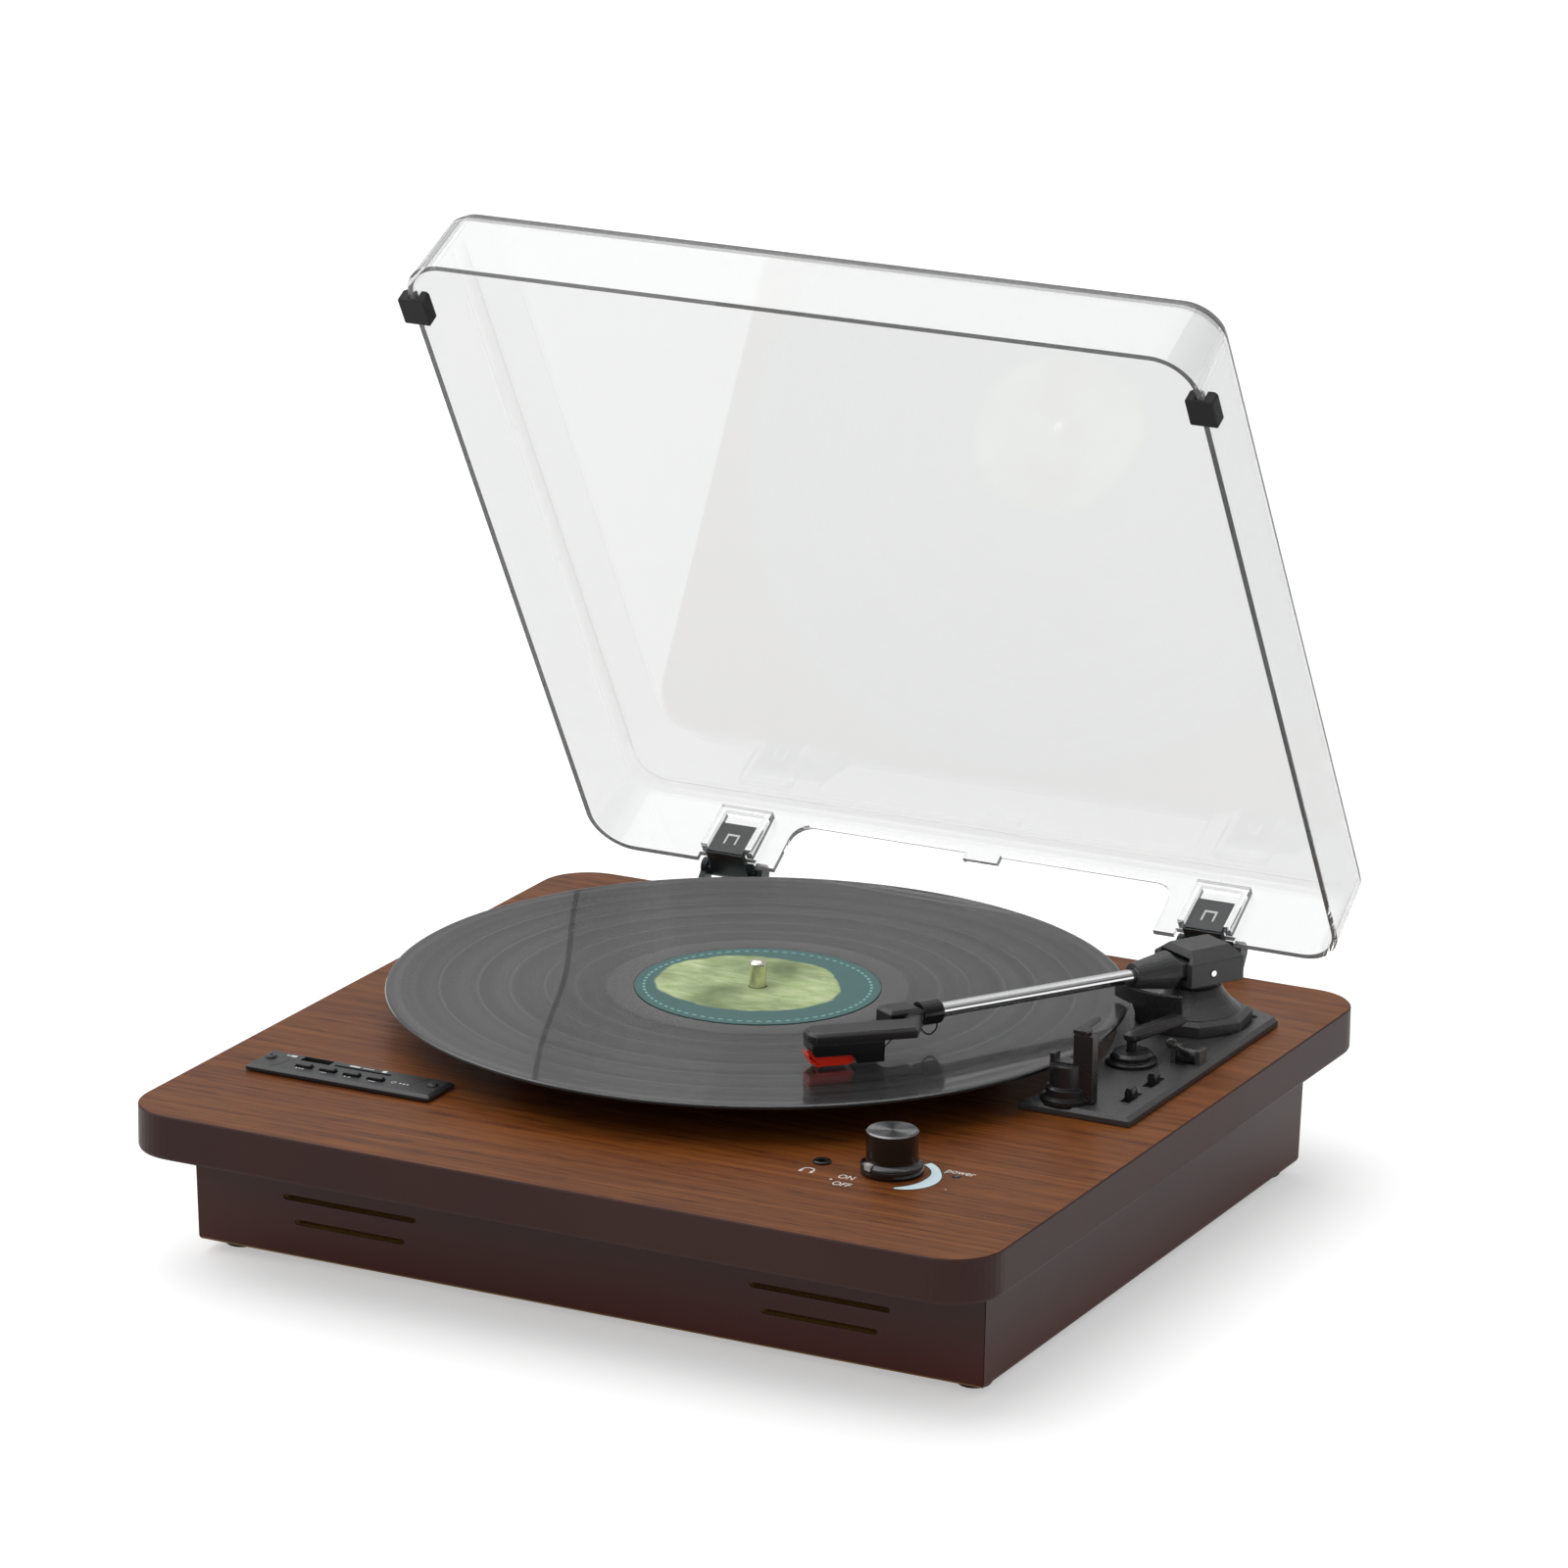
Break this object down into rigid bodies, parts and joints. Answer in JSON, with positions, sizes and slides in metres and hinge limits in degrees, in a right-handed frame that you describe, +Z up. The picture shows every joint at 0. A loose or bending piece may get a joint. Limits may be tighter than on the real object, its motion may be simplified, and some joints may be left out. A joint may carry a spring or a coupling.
{
  "type": "turntable record player",
  "caption": "Belt-drive record player: wooden plinth with wide top board, platter with disc, straight tonearm, flush control panel, volume knob and hinged clear lid.",
  "frame": {"origin": "on the floor, under the middle of the bounding box with the lid open", "axes": "+Z up, +Y towards the lid hinges at the rear, +X to the right, tonearm side"},
  "size_m": [0.375, 0.401, 0.3844],
  "materials": {
    "board_walnut": "satin walnut foil with fine grain",
    "base_walnut": "satin dark walnut foil",
    "raw_board": "bare fibreboard",
    "foot_rubber": "matt black rubber",
    "belt_rubber": "matt black rubber",
    "bumper_rubber": "matt black rubber",
    "vinyl": "glossy grooved vinyl",
    "label_paper": "printed paper",
    "felt": "black felt",
    "aluminium": "cast and turned aluminium",
    "steel": "brushed steel",
    "chrome": "polished chrome",
    "spindle_metal": "polished, slightly warm",
    "brass": "turned brass",
    "black_textured": "fine textured black moulding",
    "black_gloss": "satin black moulding",
    "knob_metal": "spun top, dark anodised",
    "red_plastic": "translucent red moulding",
    "circuit_board": "green solder mask",
    "speaker_black": "paper cone in a pressed frame",
    "clear_acrylic": "clear moulded acrylic"
  },
  "bodies": {
    "chassis": {"top_board": "board_walnut", "front_panel": "base_walnut", "rear_panel": "base_walnut", "left_panel": "base_walnut", "right_panel": "base_walnut", "bottom_board": "raw_board", "foot_front_left": "foot_rubber", "foot_front_right": "foot_rubber", "foot_rear_left": "foot_rubber", "foot_rear_right": "foot_rubber", "spindle_bearing": "brass", "drive_belt": "belt_rubber", "motor": "steel", "tonearm_base": "black_textured", "pedestal": "black_textured", "arm_rest_post": "black_textured", "lift_damper": "black_textured", "volume_control": "steel", "headphone_socket": "black_gloss", "power_lamp": "black_gloss", "control_panel": "black_gloss", "panel_screw_left": "steel", "panel_screw_right": "steel", "media_board": "circuit_board", "main_board": "circuit_board", "speaker_left": "speaker_black", "speaker_right": "speaker_black", "hinge_bracket_left": "black_textured", "hinge_bracket_right": "black_textured", "rear_socket_plate": "black_gloss", "power_inlet": "black_gloss"},
    "lid": {"lid": "clear_acrylic", "lid_bumper_left": "bumper_rubber", "lid_bumper_right": "bumper_rubber", "hinge_leaf_left": "black_textured", "hinge_leaf_right": "black_textured"},
    "platter": {"platter": "aluminium", "slip_mat": "felt", "record_disc": "vinyl", "record_label": "label_paper", "spindle": "spindle_metal"},
    "motor_pulley": {"motor_pulley": "brass"},
    "arm_yaw": {"pivot_housing": "black_textured", "pivot_pin": "chrome"},
    "arm": {"arm_sleeve": "black_textured", "tonearm_tube": "chrome", "headshell_collar": "black_gloss", "headshell": "black_textured", "cartridge": "black_gloss", "stylus_guard": "red_plastic"},
    "cue_lever": {"cue_lever": "black_textured"},
    "cue_lift": {"cue_lift_blade": "black_textured"},
    "rest_clip": {"arm_rest_clip": "black_textured"},
    "speed_switch": {"speed_switch": "black_textured"},
    "auto_stop_switch": {"auto_stop_switch": "black_textured"},
    "volume_knob": {"volume_knob": "knob_metal"},
    "button_mode": {"button_mode": "black_gloss"},
    "button_previous": {"button_previous": "black_gloss"},
    "button_play": {"button_play": "black_gloss"},
    "button_next": {"button_next": "black_gloss"}
  },
  "joints": [
    {"name": "lid_hinge", "type": "hinge", "parent": "chassis", "child": "lid", "pos_m": [0, 0.17905, 0.0745], "axis": [-1, 0, 0], "range_deg": [-59.5, 0]},
    {"name": "platter_spin", "type": "hinge", "parent": "chassis", "child": "platter", "pos_m": [-0.0165, 0.01525, 0.08], "axis": [0, 0, 1], "continuous": true},
    {"name": "motor_spin", "type": "hinge", "parent": "chassis", "child": "motor_pulley", "pos_m": [-0.07712, 0.05025, 0.073], "axis": [0, 0, 1], "continuous": true},
    {"name": "arm_swing", "type": "hinge", "parent": "chassis", "child": "arm_yaw", "pos_m": [0.1408, 0.09675, 0.0944], "axis": [0, 0, 1], "range_deg": [-17, 29]},
    {"name": "arm_lift", "type": "hinge", "parent": "arm_yaw", "child": "arm", "pos_m": [0.1408, 0.09675, 0.0944], "axis": [-0.866, 0.5, 0], "range_deg": [0, 1.4]},
    {"name": "cue_lever_turn", "type": "hinge", "parent": "chassis", "child": "cue_lever", "pos_m": [0.1615, 0.04575, 0.075], "axis": [-1, 0, 0], "range_deg": [0, 70]},
    {"name": "cue_lift_slide", "type": "slide", "parent": "chassis", "child": "cue_lift", "axis": [0, 0, 1], "range_m": [0, 0.0008], "stiffness_N_per_m": 0.5, "springref_m": 0.0345},
    {"name": "rest_clip_turn", "type": "hinge", "parent": "chassis", "child": "rest_clip", "pos_m": [0.14501, -0.02023, 0.1], "axis": [0, 0, -1], "range_deg": [-90, 0]},
    {"name": "speed_select", "type": "slide", "parent": "chassis", "child": "speed_switch", "axis": [0, 1, 0], "range_m": [-0.004, 0.004]},
    {"name": "auto_stop_select", "type": "slide", "parent": "chassis", "child": "auto_stop_switch", "axis": [0, 1, 0], "range_m": [-0.004, 0.004]},
    {"name": "volume_turn", "type": "hinge", "parent": "chassis", "child": "volume_knob", "pos_m": [0.1121, -0.12105, 0.08], "axis": [0, 0, -1], "range_deg": [0, 300]},
    {"name": "button_mode_press", "type": "slide", "parent": "chassis", "child": "button_mode", "axis": [0, 0, -1], "range_m": [0, 0.0008], "stiffness_N_per_m": 300},
    {"name": "button_previous_press", "type": "slide", "parent": "chassis", "child": "button_previous", "axis": [0, 0, -1], "range_m": [0, 0.0008], "stiffness_N_per_m": 300},
    {"name": "button_play_press", "type": "slide", "parent": "chassis", "child": "button_play", "axis": [0, 0, -1], "range_m": [0, 0.0008], "stiffness_N_per_m": 300},
    {"name": "button_next_press", "type": "slide", "parent": "chassis", "child": "button_next", "axis": [0, 0, -1], "range_m": [0, 0.0008], "stiffness_N_per_m": 300}
  ],
  "couplings": [
    {"joint": "motor_spin", "follows": "platter_spin", "ratio": 12},
    {"joint": "arm_lift", "follows": "cue_lever_turn", "ratio": 0.02},
    {"joint": "cue_lift_slide", "follows": "cue_lever_turn", "m_per_rad": 0.00065}
  ]
}
